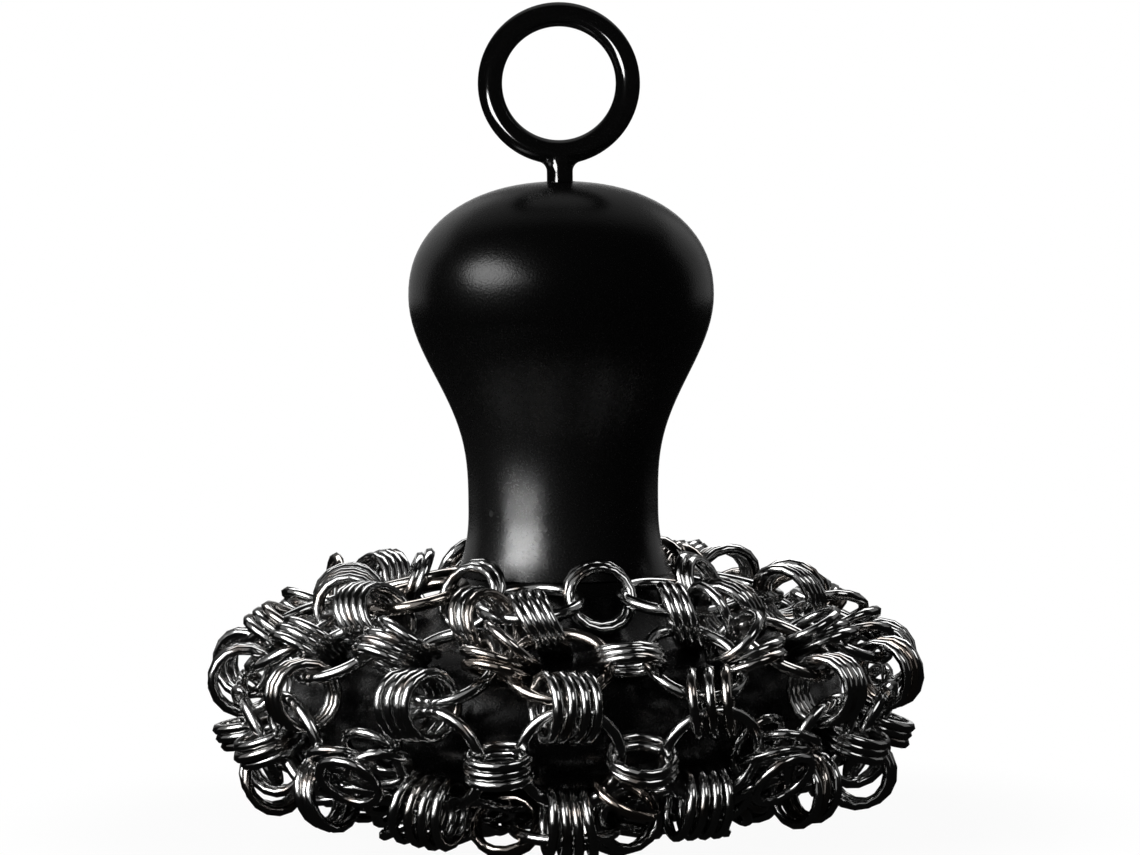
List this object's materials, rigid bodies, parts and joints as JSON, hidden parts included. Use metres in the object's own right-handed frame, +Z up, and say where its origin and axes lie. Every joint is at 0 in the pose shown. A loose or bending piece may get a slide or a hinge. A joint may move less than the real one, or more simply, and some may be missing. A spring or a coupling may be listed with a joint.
{
  "type": "pan scrubber",
  "caption": "Ring-mesh pan scrubber: a knob handle with a hanging eye on a round core, held in a bag of linked steel rings.",
  "frame": {"origin": "middle of the base, on the surface that the lowest clips stand on", "axes": "+Z up along the handle's axis, +X along the plane of the hanging eye, -Y towards the front"},
  "size_m": [0.0952, 0.0952, 0.1084],
  "materials": {
    "black_lacquer": "black satin lacquer with a fine orange-peel grain",
    "black_painted_steel": "gloss black",
    "ring_steel": "polished",
    "zinc_plated_steel": "zinc plated"
  },
  "bodies": {
    "ring_bag": {"base_net": "ring_steel", "neck_ring_01": "ring_steel", "neck_ring_02": "ring_steel", "neck_ring_03": "ring_steel", "neck_ring_04": "ring_steel", "neck_ring_05": "ring_steel", "neck_ring_06": "ring_steel", "neck_ring_07": "ring_steel", "upper_ring_01": "ring_steel", "upper_ring_02": "ring_steel", "upper_ring_03": "ring_steel", "upper_ring_04": "ring_steel", "upper_ring_05": "ring_steel", "upper_ring_06": "ring_steel", "upper_ring_07": "ring_steel", "upper_ring_08": "ring_steel", "upper_ring_09": "ring_steel", "upper_ring_10": "ring_steel", "upper_ring_11": "ring_steel", "upper_ring_12": "ring_steel", "upper_ring_13": "ring_steel", "upper_ring_14": "ring_steel", "lower_ring_01": "ring_steel", "lower_ring_02": "ring_steel", "lower_ring_03": "ring_steel", "lower_ring_04": "ring_steel", "lower_ring_05": "ring_steel", "lower_ring_06": "ring_steel", "lower_ring_07": "ring_steel", "lower_ring_08": "ring_steel", "lower_ring_09": "ring_steel", "lower_ring_10": "ring_steel", "lower_ring_11": "ring_steel", "lower_ring_12": "ring_steel", "lower_ring_13": "ring_steel", "lower_ring_14": "ring_steel"},
    "knob": {"handle": "black_lacquer", "core": "black_lacquer", "hanging_eye": "black_painted_steel", "core_screw": "zinc_plated_steel", "screw_washer": "zinc_plated_steel"},
    "side_clip_01": {"side_clip_01": "ring_steel"},
    "side_clip_02": {"side_clip_02": "ring_steel"},
    "side_clip_03": {"side_clip_03": "ring_steel"},
    "side_clip_04": {"side_clip_04": "ring_steel"},
    "side_clip_05": {"side_clip_05": "ring_steel"},
    "side_clip_06": {"side_clip_06": "ring_steel"},
    "side_clip_07": {"side_clip_07": "ring_steel"},
    "side_clip_08": {"side_clip_08": "ring_steel"},
    "side_clip_09": {"side_clip_09": "ring_steel"},
    "side_clip_10": {"side_clip_10": "ring_steel"},
    "side_clip_11": {"side_clip_11": "ring_steel"},
    "side_clip_12": {"side_clip_12": "ring_steel"},
    "side_clip_13": {"side_clip_13": "ring_steel"},
    "side_clip_14": {"side_clip_14": "ring_steel"}
  },
  "joints": [
    {"name": "knob_turn", "type": "hinge", "parent": "ring_bag", "child": "knob", "pos_m": [0, 0, 0.02], "axis": [0, 0, 1], "continuous": true},
    {"name": "side_clip_01_swivel", "type": "hinge", "parent": "ring_bag", "child": "side_clip_01", "pos_m": [0, -0.04281, 0.02106], "axis": [0, 0.1736, 0.9848], "range_deg": [-20, 20]},
    {"name": "side_clip_02_swivel", "type": "hinge", "parent": "ring_bag", "child": "side_clip_02", "pos_m": [0.01857, -0.03857, 0.02106], "axis": [-0.0753, 0.1565, 0.9848], "range_deg": [-20, 20]},
    {"name": "side_clip_03_swivel", "type": "hinge", "parent": "ring_bag", "child": "side_clip_03", "pos_m": [0.03347, -0.02669, 0.02106], "axis": [-0.1358, 0.1083, 0.9848], "range_deg": [-20, 20]},
    {"name": "side_clip_04_swivel", "type": "hinge", "parent": "ring_bag", "child": "side_clip_04", "pos_m": [0.04173, -0.00953, 0.02106], "axis": [-0.1693, 0.0386, 0.9848], "range_deg": [-20, 20]},
    {"name": "side_clip_05_swivel", "type": "hinge", "parent": "ring_bag", "child": "side_clip_05", "pos_m": [0.04173, 0.00953, 0.02106], "axis": [-0.1693, -0.0386, 0.9848], "range_deg": [-20, 20]},
    {"name": "side_clip_06_swivel", "type": "hinge", "parent": "ring_bag", "child": "side_clip_06", "pos_m": [0.03347, 0.02669, 0.02106], "axis": [-0.1358, -0.1083, 0.9848], "range_deg": [-20, 20]},
    {"name": "side_clip_07_swivel", "type": "hinge", "parent": "ring_bag", "child": "side_clip_07", "pos_m": [0.01857, 0.03857, 0.02106], "axis": [-0.0753, -0.1565, 0.9848], "range_deg": [-20, 20]},
    {"name": "side_clip_08_swivel", "type": "hinge", "parent": "ring_bag", "child": "side_clip_08", "pos_m": [0, 0.04281, 0.02106], "axis": [0, -0.1736, 0.9848], "range_deg": [-20, 20]},
    {"name": "side_clip_09_swivel", "type": "hinge", "parent": "ring_bag", "child": "side_clip_09", "pos_m": [-0.01857, 0.03857, 0.02106], "axis": [0.0753, -0.1565, 0.9848], "range_deg": [-20, 20]},
    {"name": "side_clip_10_swivel", "type": "hinge", "parent": "ring_bag", "child": "side_clip_10", "pos_m": [-0.03347, 0.02669, 0.02106], "axis": [0.1358, -0.1083, 0.9848], "range_deg": [-20, 20]},
    {"name": "side_clip_11_swivel", "type": "hinge", "parent": "ring_bag", "child": "side_clip_11", "pos_m": [-0.04173, 0.00953, 0.02106], "axis": [0.1693, -0.0386, 0.9848], "range_deg": [-20, 20]},
    {"name": "side_clip_12_swivel", "type": "hinge", "parent": "ring_bag", "child": "side_clip_12", "pos_m": [-0.04173, -0.00953, 0.02106], "axis": [0.1693, 0.0386, 0.9848], "range_deg": [-20, 20]},
    {"name": "side_clip_13_swivel", "type": "hinge", "parent": "ring_bag", "child": "side_clip_13", "pos_m": [-0.03347, -0.02669, 0.02106], "axis": [0.1358, 0.1083, 0.9848], "range_deg": [-20, 20]},
    {"name": "side_clip_14_swivel", "type": "hinge", "parent": "ring_bag", "child": "side_clip_14", "pos_m": [-0.01857, -0.03857, 0.02106], "axis": [0.0753, 0.1565, 0.9848], "range_deg": [-20, 20]}
  ]
}
